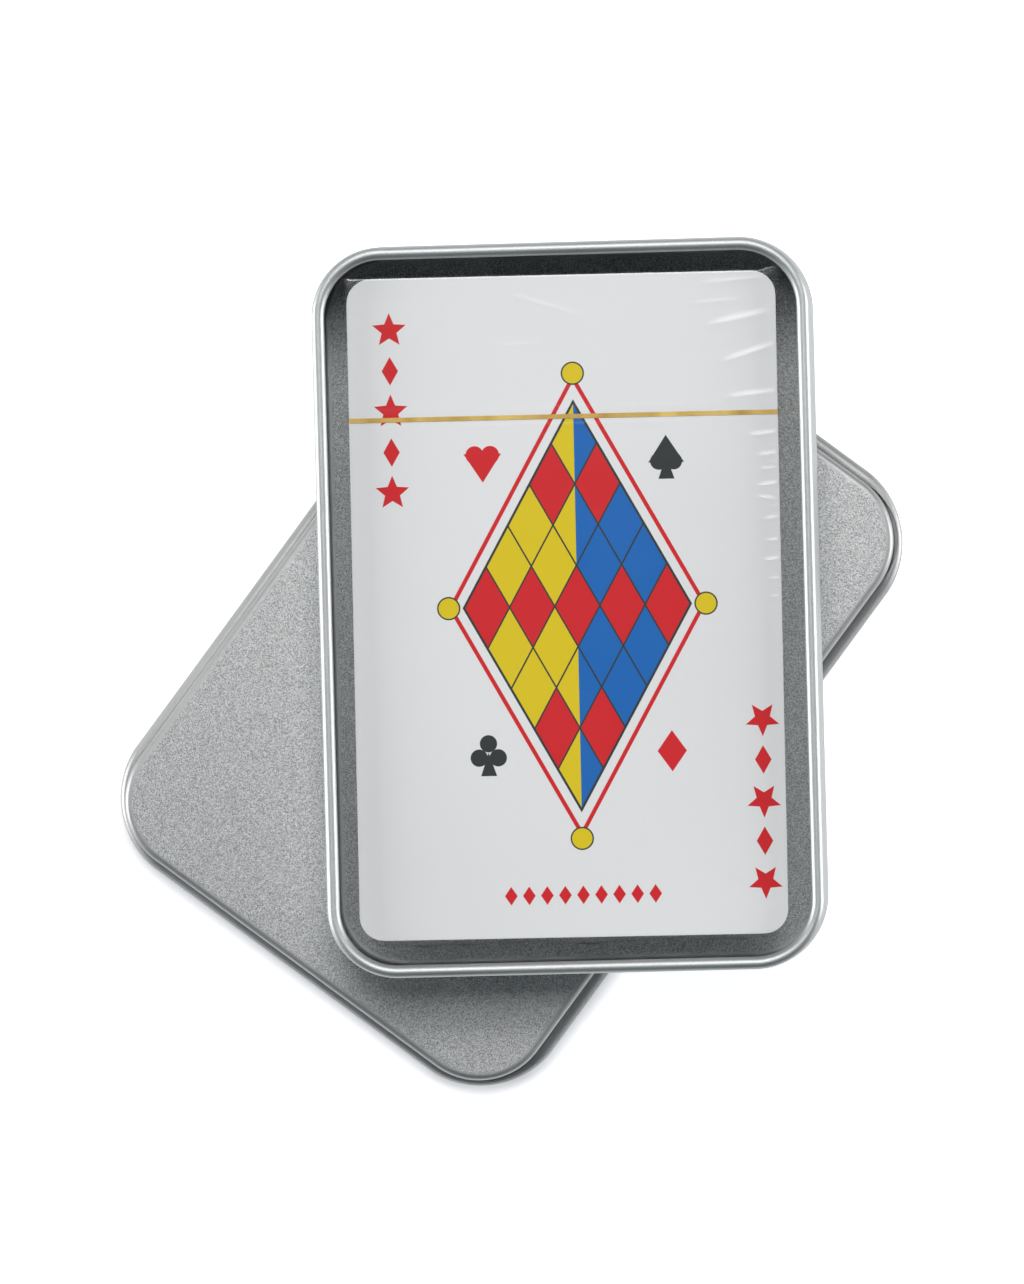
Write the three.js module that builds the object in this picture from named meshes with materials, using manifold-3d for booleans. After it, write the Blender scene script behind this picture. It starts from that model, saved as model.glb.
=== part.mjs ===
// A slip-lid tin for a sealed deck of playing cards, shown open.
//
// The base is a tray drawn from tinplate, with a rim rolled inwards and a stop bead round its wall.
// The lid is a shallower pan whose edge is rolled outwards into a hem. It slips over the base and its
// hem then rests on the bead. Here the lid lies on the table, panel up and turned, and the base stands
// on it. The deck lies in the base in a clear film wrap, with a gold tear tape under the film.
//
// Units are millimetres, +Z is up, and +Y runs along the long side of the base.

import * as THREE from "three";
import { mergeVertices } from "three/addons/utils/BufferGeometryUtils.js";
import Module from "manifold-3d";

const wasm = await Module();
wasm.setup();

// Playing cards
const cardCount = 54;
const cardWidth = 57;
const cardLength = 88;
const cardThickness = 0.28;
const cardCornerRadius = 3.2;
const cardAir = 0.01;
const cardCornerSteps = 4;

// Clear film wrap
const filmThickness = 0.05;
const filmSlack = 0.14;
const filmCornerRadius = 1.2;
const filmCornerSteps = 3;
const lowerFlapShare = 0.68;
const upperFlapShare = 0.6;
const tuckGapWidth = 0.4;
const tuckGapHeight = 3;
const tuckGapInset = 1;

// Tear tape round the girth of the deck, between the cards and the film
const tapeWidth = 0.6;
const tapeThickness = 0.06;
const tapeClearance = 0.04;
const tapeFromTop = 18.8;

// Tinplate and its bends, to the outside of the sheet
const sheet = 0.25;
const wallCornerRadius = 9.3;
const floorBendRadius = 1.2;
const panelBendRadius = 0.6;
const rimCurlRadius = 0.85;
const hemCurlRadius = 0.85;
const cornerSteps = 10;
const bendSteps = 4;
const curlStep = Math.PI / 7;
const rimCurlSteps = 11;
const hemFirstSteps = 7;
const hemLastSteps = 5;

// Gap between the hem's raw edge and the wall, along the sides and at the middle of a corner
const hemSideGap = 0.1;
const hemCornerGap = 0.45;

// Stop bead pressed out of the base's wall
const beadReach = 0.75;
const beadHalfHeight = 1;
const beadSteps = 8;

// Fits
const deckClearance = 2.6;
const rimAboveDeck = 2.7;
const lidClearance = 0.3;
const seatAir = 0.02;

// Lid, and how the pieces lie
const lidHeight = 11.5;
const lidTurn = THREE.MathUtils.degToRad(-37.7);
const baseAcross = 8.75;
const baseAlong = 8.43;
const deckAcross = -0.13;
const deckAlong = 0.26;
const deckTurn = THREE.MathUtils.degToRad(-0.3);

// Sizes that follow from those above
const cardPitch = cardThickness + cardAir;
const stackHeight = cardCount * cardPitch - cardAir;
const wrapReach = filmSlack + filmThickness;
const wrapWidth = cardWidth + 2 * wrapReach;
const wrapLength = cardLength + 2 * wrapReach;
const wrapHeight = stackHeight + 2 * wrapReach;
const baseWidth = wrapWidth + 2 * (deckClearance + 2 * rimCurlRadius);
const baseLength = wrapLength + 2 * (deckClearance + 2 * rimCurlRadius);
const baseHeight = sheet + seatAir + wrapHeight + rimAboveDeck;
const closedHemHeight = baseHeight + sheet - lidHeight;

// Finishes
const tinFinish = { color: 0xb4b8b7, roughness: 0.42, metalness: 0.9 };
const cardFinish = { color: 0xd9dadb, roughness: 0.55, metalness: 0 };
const tapeFinish = { color: 0xc39a3b, roughness: 0.3, metalness: 0.6 };
const filmFinish = { color: 0xf2f6f6, roughness: 0.12, metalness: 0, transparent: true, opacity: 0.18 };

// One point of a rectangle with round corners. Each corner has steps + 1 of them, and the corners
// follow each other anticlockwise seen from above.
function outlinePoint(halfWidth, halfLength, radius, steps, index) {
  const quarter = Math.floor(index / (steps + 1));
  const across = quarter === 0 || quarter === 3 ? 1 : -1;
  const along = quarter < 2 ? 1 : -1;
  const angle = (quarter + index % (steps + 1) / steps) * Math.PI / 2;
  return new THREE.Vector2(
    across * (halfWidth - radius) + radius * Math.cos(angle),
    along * (halfLength - radius) + radius * Math.sin(angle),
  );
}

function roundedOutline(halfWidth, halfLength, radius, steps) {
  return Array.from(
    { length: 4 * (steps + 1) },
    (_, index) => outlinePoint(halfWidth, halfLength, radius, steps, index));
}

// A straight extrusion of an outline, standing on z = 0.
function slab(outline, depth) {
  return new THREE.ExtrudeGeometry(new THREE.Shape(outline), { depth, bevelEnabled: false });
}

// The section of a bent sheet is its middle line. Each point has its place, sideways and up, and the
// direction in which the sheet's left face lies for someone who walks along the line.
function bend(centre, radius, start, step, steps) {
  return Array.from({ length: steps + 1 }, (_, i) => {
    const ray = new THREE.Vector2(Math.cos(start + i * step), Math.sin(start + i * step));
    return {
      at: centre.clone().addScaledVector(ray, radius),
      left: ray.clone().multiplyScalar(-Math.sign(step)),
    };
  });
}

// A smooth rib that swells outwards from a wall on its way up.
function rib(height, reach, halfHeight, steps) {
  return Array.from({ length: steps + 1 }, (_, i) => {
    const share = 2 * i / steps - 1;
    const out = reach * (1 + Math.cos(Math.PI * share)) / 2;
    const slope = -reach * Math.PI * Math.sin(Math.PI * share) / (2 * halfHeight);
    return {
      at: new THREE.Vector2(out, height + share * halfHeight),
      left: new THREE.Vector2(-1, slope).normalize(),
    };
  });
}

// A drawn pan: the sheet's section is carried round a rounded rectangle, and the flat inside the
// first ring is closed above and below. halfWidth, halfLength and radius are those of the wall's middle.
// middleAt gives the middle line for a corner share of 0 along the sides and 1 in a corner's middle.
function drawnPan(halfWidth, halfLength, radius, middleAt) {
  const count = 4 * (cornerSteps + 1);
  const sections = Array.from({ length: count }, (_, k) => {
    const middle = middleAt(Math.sin(Math.PI * (k % (cornerSteps + 1)) / cornerSteps));
    const side = (reach) => middle.map(({ at, left }) => at.clone().addScaledVector(left, reach));
    return [...side(-sheet / 2), ...side(sheet / 2).reverse()];
  });
  const rings = sections[0].length;
  const points = [];
  const faces = [];
  for (let ring = 0; ring < rings; ring++) {
    sections.forEach((section, k) => {
      const { x: out, y: up } = section[ring];
      const { x, y } = outlinePoint(halfWidth + out, halfLength + out, radius + out, cornerSteps, k);
      points.push(x, y, up);
    });
  }
  const under = rings * count;
  const over = under + 1;
  points.push(0, 0, sections[0][0].y, 0, 0, sections[0].at(-1).y);
  const last = (rings - 1) * count;
  for (let k = 0; k < count; k++) {
    const next = (k + 1) % count;
    faces.push(under, next, k, over, last + k, last + next);
    for (let ring = 0; ring < last; ring += count) {
      faces.push(ring + k, ring + next, ring + count + next);
      faces.push(ring + k, ring + count + next, ring + count + k);
    }
  }
  const geometry = new THREE.BufferGeometry();
  geometry.setAttribute("position", new THREE.Float32BufferAttribute(points, 3));
  geometry.setIndex(faces);
  geometry.computeVertexNormals();
  return geometry;
}

function baseGeometry() {
  const floorBend = floorBendRadius - sheet / 2;
  const rimBend = rimCurlRadius - sheet / 2;
  const middle = [
    ...bend(
      new THREE.Vector2(-floorBend, floorBendRadius), floorBend, -Math.PI / 2,
      Math.PI / 2 / bendSteps, bendSteps),
    ...rib(closedHemHeight - beadHalfHeight, beadReach, beadHalfHeight, beadSteps),
    ...bend(
      new THREE.Vector2(-rimBend, baseHeight - rimCurlRadius), rimBend, 0, curlStep, rimCurlSteps),
  ];
  return drawnPan(
    (baseWidth - sheet) / 2, (baseLength - sheet) / 2, wallCornerRadius - sheet / 2, () => middle);
}

// The lid's section starts at its panel and runs down the wall into the hem. One flat of the rolled
// hem is level and lowest, and the lid stands on it. The hem gapes at the corners, where its raw edge
// has to stretch.
function lidGeometry() {
  const panelBend = panelBendRadius - sheet / 2;
  const hemBend = hemCurlRadius - sheet / 2;
  const hemCentre = new THREE.Vector2(hemBend, hemCurlRadius * Math.cos(curlStep / 2));
  const wallOut = lidClearance + sheet / 2;
  const panel = bend(
    new THREE.Vector2(-panelBend, lidHeight - panelBendRadius), panelBend, Math.PI / 2,
    -Math.PI / 2 / bendSteps, bendSteps);
  const middleAt = (cornerShare) => {
    const gap = THREE.MathUtils.lerp(hemSideGap, hemCornerGap, cornerShare);
    const lastTurn = Math.acos((gap + sheet) / hemBend - 1);
    const outer = bend(hemCentre, hemBend, Math.PI, curlStep, hemFirstSteps);
    const inner = bend(hemCentre, hemBend, 0, lastTurn / hemLastSteps, hemLastSteps);
    return [...panel, ...outer, ...inner.slice(1)];
  };
  return drawnPan(
    baseWidth / 2 + wallOut, baseLength / 2 + wallOut, wallCornerRadius + wallOut, middleAt);
}

function solidFrom(geometry) {
  const bare = geometry.clone();
  bare.deleteAttribute("normal");
  bare.deleteAttribute("uv");
  const merged = mergeVertices(bare);
  return new wasm.Manifold(new wasm.Mesh({
    numProp: 3,
    vertProperties: merged.attributes.position.array,
    triVerts: new Uint32Array(merged.index.array),
  }));
}

function geometryFrom(solid) {
  const { vertProperties, triVerts } = solid.getMesh();
  const geometry = new THREE.BufferGeometry();
  geometry.setAttribute("position", new THREE.BufferAttribute(vertProperties, 3));
  geometry.setIndex(new THREE.BufferAttribute(triVerts, 1));
  geometry.computeVertexNormals();
  return geometry;
}

// An end flap of the wrap: a trapezium whose sides run in at 45 degrees from the edge that it folds
// over. Its thickness is given, and it starts half a film deep in the wrap's end wall.
function endFlap(share, thickness) {
  const foot = wrapWidth / 2 - filmCornerRadius;
  const rise = share * wrapHeight;
  const outline = [
    new THREE.Vector2(-foot, 0),
    new THREE.Vector2(foot, 0),
    new THREE.Vector2(foot - rise, rise),
    new THREE.Vector2(rise - foot, rise),
  ];
  return slab(outline, thickness + filmThickness / 2)
    .rotateX(Math.PI / 2)
    .translate(0, filmThickness / 2 - wrapLength / 2, 0);
}

// The wrap is a thin case. Each end has a lower flap folded up and an upper one folded down over it,
// and beside them the side tucks leave narrow slits.
function filmGeometry() {
  const outer = slab(
    roundedOutline(wrapWidth / 2, wrapLength / 2, filmCornerRadius, filmCornerSteps), wrapHeight);
  const inner = slab(
    roundedOutline(
      wrapWidth / 2 - filmThickness, wrapLength / 2 - filmThickness,
      filmCornerRadius - filmThickness, filmCornerSteps),
    wrapHeight - 2 * filmThickness,
  ).translate(0, 0, filmThickness);
  let film = solidFrom(outer).subtract(solidFrom(inner));
  const lower = endFlap(lowerFlapShare, filmThickness);
  const upper = endFlap(upperFlapShare, 2 * filmThickness)
    .rotateY(Math.PI)
    .translate(0, 0, wrapHeight);
  for (const turn of [0, Math.PI]) {
    for (const flap of [lower, upper]) film = film.add(solidFrom(flap.clone().rotateZ(turn)));
    for (const side of [-1, 1]) {
      const slit = new THREE.BoxGeometry(tuckGapWidth, 2 * filmThickness, tuckGapHeight)
        .translate(
          side * (wrapWidth / 2 - filmCornerRadius - tuckGapInset),
          (filmThickness - wrapLength) / 2,
          wrapHeight / 2)
        .rotateZ(turn);
      film = film.subtract(solidFrom(slit));
    }
  }
  return geometryFrom(film);
}

// The tear tape is a flat loop that stands on edge round the deck.
function tapeGeometry() {
  const near = tapeClearance;
  const far = tapeClearance + tapeThickness;
  const loop = (reach) => roundedOutline(cardWidth / 2 + reach, stackHeight / 2 + reach, reach, 1);
  const shape = new THREE.Shape(loop(far));
  shape.holes.push(new THREE.Path(loop(near).reverse()));
  return new THREE.ExtrudeGeometry(shape, { depth: tapeWidth, bevelEnabled: false })
    .rotateX(Math.PI / 2)
    .translate(0, cardLength / 2 - tapeFromTop + tapeWidth / 2, wrapHeight / 2);
}

function piece(name, geometry, finish) {
  const mesh = new THREE.Mesh(geometry, new THREE.MeshStandardMaterial(finish));
  mesh.name = name;
  return mesh;
}

// The deck: the wrap, the tear tape and the cards, on the wrap's underside.
function deck() {
  const group = new THREE.Group();
  group.add(piece("film_wrap", filmGeometry(), filmFinish));
  group.add(piece("tear_tape", tapeGeometry(), tapeFinish));
  const card = slab(
    roundedOutline(cardWidth / 2, cardLength / 2, cardCornerRadius, cardCornerSteps), cardThickness);
  for (let i = 0; i < cardCount; i++) {
    const mesh = piece("card_" + String(i + 1).padStart(2, "0"), card, cardFinish);
    mesh.position.z = wrapReach + i * cardPitch;
    group.add(mesh);
  }
  group.position.set(deckAcross, deckAlong, sheet + seatAir);
  group.rotation.z = deckTurn;
  return group;
}

function base() {
  const group = new THREE.Group();
  group.add(piece("base_tin", baseGeometry(), tinFinish));
  group.add(deck());
  group.position.set(baseAcross, baseAlong, lidHeight + seatAir);
  return group;
}

const lid = piece("lid", lidGeometry(), tinFinish);
lid.rotation.z = lidTurn;

const cardTin = new THREE.Group();
cardTin.add(lid, base());

// The origin lies under the middle of the whole, on the table.
const middleOfAll = new THREE.Box3().setFromObject(cardTin, true).getCenter(new THREE.Vector3());
cardTin.position.set(-middleOfAll.x, -middleOfAll.y, 0);

export default cardTin;
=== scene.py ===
# %% [markdown]
# # An open card tin, dressed for the camera
#
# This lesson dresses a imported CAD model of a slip-lid card tin. The base stands on the turned lid and
# holds a sealed deck of cards. The CAD model is the fixed frame, and each cell below adds one piece or
# one finish to it.

# %% Load the frame
import math

import bpy
from mathutils import Matrix, Vector


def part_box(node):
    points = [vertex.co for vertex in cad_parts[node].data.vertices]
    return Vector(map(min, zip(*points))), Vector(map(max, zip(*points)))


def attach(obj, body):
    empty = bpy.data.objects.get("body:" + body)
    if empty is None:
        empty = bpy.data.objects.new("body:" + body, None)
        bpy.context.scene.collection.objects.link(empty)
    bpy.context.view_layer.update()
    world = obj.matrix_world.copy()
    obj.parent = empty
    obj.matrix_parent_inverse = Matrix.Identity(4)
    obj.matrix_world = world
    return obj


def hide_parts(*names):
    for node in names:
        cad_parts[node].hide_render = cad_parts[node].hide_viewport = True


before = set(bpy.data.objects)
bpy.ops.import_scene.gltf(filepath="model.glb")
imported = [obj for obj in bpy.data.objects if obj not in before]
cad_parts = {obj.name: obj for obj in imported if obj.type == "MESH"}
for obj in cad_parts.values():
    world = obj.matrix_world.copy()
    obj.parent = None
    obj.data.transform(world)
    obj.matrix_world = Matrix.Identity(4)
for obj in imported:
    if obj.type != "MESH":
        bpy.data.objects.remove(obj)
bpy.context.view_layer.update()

# %% [markdown]
# ## Sizes
#
# The CAD model was drawn in millimetres and Blender works in metres, so every size below is written in
# millimetres and multiplied by MM where a mesh is made. The places of the lid, the base and the deck
# are read from the frame, so that they can't drift from the CAD model.

# %% Sizes and places
MM = 0.001
SHEET = 0.25
BASE_WIDTH, BASE_LENGTH, BASE_HEIGHT = 65.98, 96.98, 19.0
LID_HEIGHT = 11.5
LID_CLEARANCE = 0.3
WALL_CORNER = 9.3
CURL = 0.85
LID_TURN = math.radians(-37.7)
DECK_TURN = math.radians(-0.3)
CARD_WIDTH, CARD_LENGTH, CARD_CORNER = 57.0, 88.0, 3.2
CARD_THICKNESS, CARD_PITCH, CARD_COUNT = 0.28, 0.29, 54
DECK_HEIGHT = (CARD_COUNT - 1) * CARD_PITCH + CARD_THICKNESS


def middle_of(node):
    low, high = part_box(node)
    return Vector(((low.x + high.x) / 2, (low.y + high.y) / 2, low.z))


LID_PLACE = middle_of("lid")
BASE_PLACE = middle_of("base_tin")
DECK_PLACE = middle_of("card_01")
print("lid", tuple(LID_PLACE), "base", tuple(BASE_PLACE), "deck", tuple(DECK_PLACE))

# %% [markdown]
# ## Camera
#
# The photograph looks almost straight down from about 0.9 m with a long lens. The place, the tilt and
# the focal length were worked out from the corners of the card, the rim and the lid. The long side of
# the picture belongs to the 36 mm sensor width.

# %% Camera
lens = bpy.data.cameras.new("camera")
lens.sensor_width = 36.0
lens.lens = 184.19
camera = bpy.data.objects.new("camera", lens)
camera.location = LID_PLACE + Vector((0.03069, 0.01243, 0.900))
camera.rotation_euler = (-0.010426, 0.033565, -0.026800)
bpy.context.scene.collection.objects.link(camera)
bpy.context.scene.camera = camera
bpy.context.scene.view_settings.view_transform = "Standard"
print("camera at", tuple(round(v, 4) for v in camera.location), "lens", lens.lens, "mm")

# %% [markdown]
# ## Patterns from sums
#
# A procedural material is a chain of small calculations on the place of each surface point. Long chains
# of Math nodes are hard to read, so the class below lets a number that runs through the nodes be added,
# multiplied and compared as in ordinary Python. Each sign makes one or two Math nodes.


# %% Numbers that run through nodes
class Wire:
    """A number that leaves a node's socket."""

    def __init__(self, tree, socket):
        self.tree = tree
        self.socket = socket

    def maths(self, operation, *others):
        node = self.tree.nodes.new("ShaderNodeMath")
        node.operation = operation
        for place, value in zip(node.inputs, (self, *others)):
            feed(self.tree, place, value)
        return Wire(self.tree, node.outputs[0])

    def __add__(self, other):
        return self.maths("ADD", other)

    def __sub__(self, other):
        return self.maths("SUBTRACT", other)

    def __rsub__(self, other):
        return (self * -1.0) + other

    def __mul__(self, other):
        return self.maths("MULTIPLY", other)

    def __truediv__(self, other):
        return self.maths("DIVIDE", other)

    def __abs__(self):
        return self.maths("ABSOLUTE")

    __rmul__ = __mul__


def feed(tree, place, value):
    """A wire is linked to a socket, and a plain number or colour is set on it."""
    if isinstance(value, Wire):
        tree.links.new(value.socket, place)
    else:
        place.default_value = value


def most(first, second):
    return first.maths("MAXIMUM", second)


def least(first, second):
    return first.maths("MINIMUM", second)


def either(wires):
    wires = list(wires)
    result = wires[0]
    for wire in wires[1:]:
        result = most(result, wire)
    return result


print("wires are ready")

# %% [markdown]
# ## One way to start a material
#
# Each finish below begins in the same way: a new material, its Principled shader, and the object's own
# coordinates turned into millimetres. Object coordinates suit every piece here, because each piece's
# object sits at the origin and its place is in its mesh. A Mapping node centres and turns them on the
# piece that a pattern belongs to.


# %% Materials, coordinates and noise
def new_material(name):
    material = bpy.data.materials.new(name)
    material.use_nodes = True
    tree = material.node_tree
    return material, tree, tree.nodes["Principled BSDF"]


def millimetres(tree, centre=(0, 0, 0), turn=0.0):
    """Object coordinates from a centre, turned with the piece, in millimetres."""
    mapping = tree.nodes.new("ShaderNodeMapping")
    mapping.vector_type = "TEXTURE"
    mapping.inputs["Location"].default_value = centre
    mapping.inputs["Rotation"].default_value = (0, 0, turn)
    mapping.inputs["Scale"].default_value = (MM, MM, MM)
    source = tree.nodes.new("ShaderNodeTexCoord")
    tree.links.new(source.outputs["Object"], mapping.inputs["Vector"])
    return mapping.outputs["Vector"]


def apart(tree, vector):
    node = tree.nodes.new("ShaderNodeSeparateXYZ")
    tree.links.new(vector, node.inputs[0])
    return [Wire(tree, socket) for socket in node.outputs]


def noise(tree, vector, size, detail=2.0, roughness=0.5, stretch=(1, 1, 1)):
    """Soft noise from 0 to 1 whose lumps are about size millimetres across."""
    scaled = tree.nodes.new("ShaderNodeVectorMath")
    scaled.operation = "MULTIPLY"
    tree.links.new(vector, scaled.inputs[0])
    scaled.inputs[1].default_value = [1 / (size * s) for s in stretch]
    node = tree.nodes.new("ShaderNodeTexNoise")
    node.inputs["Scale"].default_value = 1.0
    node.inputs["Detail"].default_value = detail
    node.inputs["Roughness"].default_value = roughness
    tree.links.new(scaled.outputs[0], node.inputs["Vector"])
    return Wire(tree, node.outputs["Fac"])


def between(wire, low, high, bottom=0.0, top=1.0, smooth=False):
    """A number that goes from bottom to top while the wire goes from low to high."""
    node = wire.tree.nodes.new("ShaderNodeMapRange")
    node.interpolation_type = "SMOOTHSTEP" if smooth else "LINEAR"
    for place, value in zip(node.inputs, (wire, low, high, bottom, top)):
        feed(wire.tree, place, value)
    return Wire(wire.tree, node.outputs[0])


def blend_colour(tree, share, first, second):
    node = tree.nodes.new("ShaderNodeMix")
    node.data_type = "RGBA"
    feed(tree, node.inputs["Factor"], share)
    feed(tree, node.inputs["A"], first)
    feed(tree, node.inputs["B"], second)
    return Wire(tree, node.outputs["Result"])


def bump(tree, height, distance):
    node = tree.nodes.new("ShaderNodeBump")
    node.inputs["Strength"].default_value = 1.0
    node.inputs["Distance"].default_value = distance * MM
    tree.links.new(height.socket, node.inputs["Height"])
    return Wire(tree, node.outputs["Normal"])


print("material helpers are ready")

# %% [markdown]
# ## Satin tinplate
#
# The tin is drawn from thin steel with a satin silver lacquer. Up close the lacquer shows a fine
# sand-like grain, about an eighth of a millimetre across, and over a hand's breadth the sheet is never
# quite even. The grain goes into the colour and a very shallow bump, and a broad noise moves the colour
# and the roughness a little, so that the flat panel doesn't look like a mirror of one grey. Pressing
# smooths the lacquer, so the grain is strong on the flats and faint in the walls and bends. The mesh
# says which is which: its attribute named flat is 1 on the flats.

# %% Satin tinplate
GRAIN, CLOUD, GRAIN_DEPTH = 0.13, 17.0, 0.006
DARK_SILVER, LIGHT_SILVER = 0.26, 0.655


def silver(shade, warmth):
    return (shade * warmth, shade, shade, 1)


def satin_tin(name, brightness, warmth):
    material, tree, shader = new_material(name)
    place = millimetres(tree)
    grain = noise(tree, place, GRAIN, roughness=0.6)
    cloud = noise(tree, place, CLOUD)
    flat = tree.nodes.new("ShaderNodeAttribute")
    flat.attribute_name = "flat"
    on_flat = Wire(tree, flat.outputs["Fac"])
    contrast = between(on_flat, 0, 1, bottom=0.6, top=4.6)
    tone = (grain - 0.5) * contrast + (cloud - 0.5) * 0.2 + 0.5
    dark, light = silver(DARK_SILVER * brightness, warmth), silver(LIGHT_SILVER * brightness, warmth)
    feed(tree, shader.inputs["Base Color"], blend_colour(tree, tone, dark, light))
    shader.inputs["Metallic"].default_value = 1.0
    feed(tree, shader.inputs["Roughness"], (cloud - 0.5) * 0.1 + 0.52)
    relief = grain * between(on_flat, 0, 1, bottom=0.15, top=1.0)
    feed(tree, shader.inputs["Normal"], bump(tree, relief, GRAIN_DEPTH))
    return material


# Base and lid are the same tinplate. The base's copy is lighter and cooler: painted light that lifts the
# shaded gutters inside the base.
lightened_base_tinplate = satin_tin("satin_tinplate_base", brightness=1.12, warmth=0.97)
lid_tinplate = satin_tin("satin_tinplate_lid", brightness=1.0, warmth=0.99)
print("made", lightened_base_tinplate.name, "and", lid_tinplate.name)

# %% [markdown]
# ## The bent sheet
#
# Base and lid are each one drawn sheet, 0.25 mm thick. The sheet's section is a line down its middle:
# an arc where the flat turns into the wall, a rib where the stop bead is, and a rolled edge. Such a
# section could be modelled with a curve and a bevel, but the middle line as plain points lets both
# faces of the sheet be found exactly, and lets the rolled edge open at the corners. A bend's size is
# the radius of its outer face.

# %% Arcs and ribs of the middle line
FLOOR_BEND, PANEL_BEND = 1.2, 0.85
BEAD_REACH, BEAD_HALF_HEIGHT, BEAD_BELOW_HEM = 0.68, 2.4, 1.9
RIM_SWEEP = math.radians(283)
HEM_EXTRA = 0.15
HEM_GAP_SIDE, HEM_GAP_CORNER = 0.1, 0.65


def arc(centre, radius, start, sweep, steps):
    """Points of a bend, each with the direction of the sheet's left face."""
    line = []
    for i in range(steps + 1):
        angle = start + sweep * i / steps
        ray = Vector((math.cos(angle), math.sin(angle)))
        line.append((centre + radius * ray, -math.copysign(1.0, sweep) * ray))
    return line


def rib(height, reach, half_height, steps):
    """A smooth rib that swells outwards from the wall on its way up."""
    line = []
    for i in range(steps + 1):
        share = 2 * i / steps - 1
        out = reach * (1 + math.cos(math.pi * share)) / 2
        slope = -reach * math.pi * math.sin(math.pi * share) / (2 * half_height)
        left = Vector((-1, slope)).normalized()
        line.append((Vector((out, height + share * half_height)), left))
    return line


def wall_of_base(corner_share):
    """The rolled rim is the same all round, so the share of a corner isn't used here."""
    floor_radius, rim_radius = FLOOR_BEND - SHEET / 2, CURL - SHEET / 2
    bead_height = BASE_HEIGHT + SHEET - LID_HEIGHT - BEAD_BELOW_HEM
    quarter = math.pi / 2
    return [
        *arc(Vector((-floor_radius, FLOOR_BEND)), floor_radius, -quarter, quarter, steps=8),
        *rib(bead_height, BEAD_REACH, BEAD_HALF_HEIGHT, steps=24),
        *arc(Vector((-rim_radius, BASE_HEIGHT - CURL)), rim_radius, 0, RIM_SWEEP, steps=34),
    ]


def wall_of_lid(corner_share):
    """The hem's raw edge stays close to the wall along the sides and gapes at the corners."""
    panel_radius = PANEL_BEND - SHEET / 2
    hem_radius = CURL - SHEET / 2 + HEM_EXTRA * (1 - corner_share)
    gap = HEM_GAP_SIDE + (HEM_GAP_CORNER - HEM_GAP_SIDE) * corner_share
    last_turn = math.acos((gap + SHEET) / hem_radius - 1)
    hem = Vector((hem_radius, hem_radius + SHEET / 2))
    quarter = math.pi / 2
    return [
        *arc(Vector((-panel_radius, LID_HEIGHT - PANEL_BEND)), panel_radius, quarter, -quarter, steps=8),
        *arc(hem, hem_radius, math.pi, math.pi, steps=20),
        *arc(hem, hem_radius, 0, last_turn, steps=12)[1:],
    ]


print("base section:", len(wall_of_base(0)), "points; lid section:", len(wall_of_lid(0)))

# %% [markdown]
# ## Carrying a section round the tin
#
# The press that draws such a pan pulls the sheet over a rounded rectangle. The cell below does the
# same: each point of the section becomes a ring round that rectangle, and neighbouring rings are joined
# by faces. One extra ring lies just inside each flat, on the same level. It keeps the flat's shading
# level, because the smooth shading of the bend ends there and doesn't spill over the panel.

# %% Drawn pans
CORNER_STEPS = 24
FLAT_MARGIN = 0.35


def round_rectangle(half_width, half_length, radius, steps):
    """(point, corner share) round a rectangle. The share is 1 in the middle of a corner."""
    ring = []
    for quarter, (across, along) in enumerate(((1, 1), (-1, 1), (-1, -1), (1, -1))):
        for i in range(steps + 1):
            angle = (quarter + i / steps) * math.pi / 2
            x = across * (half_width - radius) + radius * math.cos(angle)
            y = along * (half_length - radius) + radius * math.sin(angle)
            ring.append((Vector((x, y)), math.sin(math.pi * i / steps)))
    return ring


def both_faces(line):
    right = [at - left * SHEET / 2 for at, left in line]
    left_face = [at + left * SHEET / 2 for at, left in line]
    return right + left_face[::-1]


def drawn_pan(name, half_width, half_length, radius, middle_line, turn, place, material):
    shares = [share for _, share in round_rectangle(half_width, half_length, radius, CORNER_STEPS)]
    sections = [both_faces(middle_line(share)) for share in shares]
    inwards = Vector((FLAT_MARGIN, 0))
    for section in sections:
        section.insert(0, section[0] - inwards)
        section.append(section[-1] - inwards)
    count, rings = len(sections), len(sections[0])
    move = Matrix.Translation(place) @ Matrix.Rotation(turn, 4, "Z") @ Matrix.Scale(MM, 4)
    points, faces = [], []
    for ring in range(rings):
        for k, section in enumerate(sections):
            out, up = section[ring]
            outline = round_rectangle(half_width + out, half_length + out, radius + out, CORNER_STEPS)
            points.append(move @ outline[k][0].to_3d() + Vector((0, 0, up * MM)))
    for ring in range(rings - 1):
        for k in range(count):
            after = (k + 1) % count
            low, high = ring * count, (ring + 1) * count
            faces.append((low + k, low + after, high + after, high + k))
    faces.append(tuple(reversed(range(count))))
    faces.append(tuple(range((rings - 1) * count, rings * count)))
    mesh = bpy.data.meshes.new(name)
    mesh.from_pydata(points, [], faces)
    mesh.materials.append(material)
    mesh.shade_smooth()
    mesh.set_sharp_from_angle(angle=math.radians(50))
    on_flat = [float(ring in (0, rings - 1)) for ring in range(rings) for _ in range(count)]
    mesh.attributes.new("flat", "FLOAT", "POINT").data.foreach_set("value", on_flat)
    piece = bpy.data.objects.new(name, mesh)
    bpy.context.scene.collection.objects.link(piece)
    return piece


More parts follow.
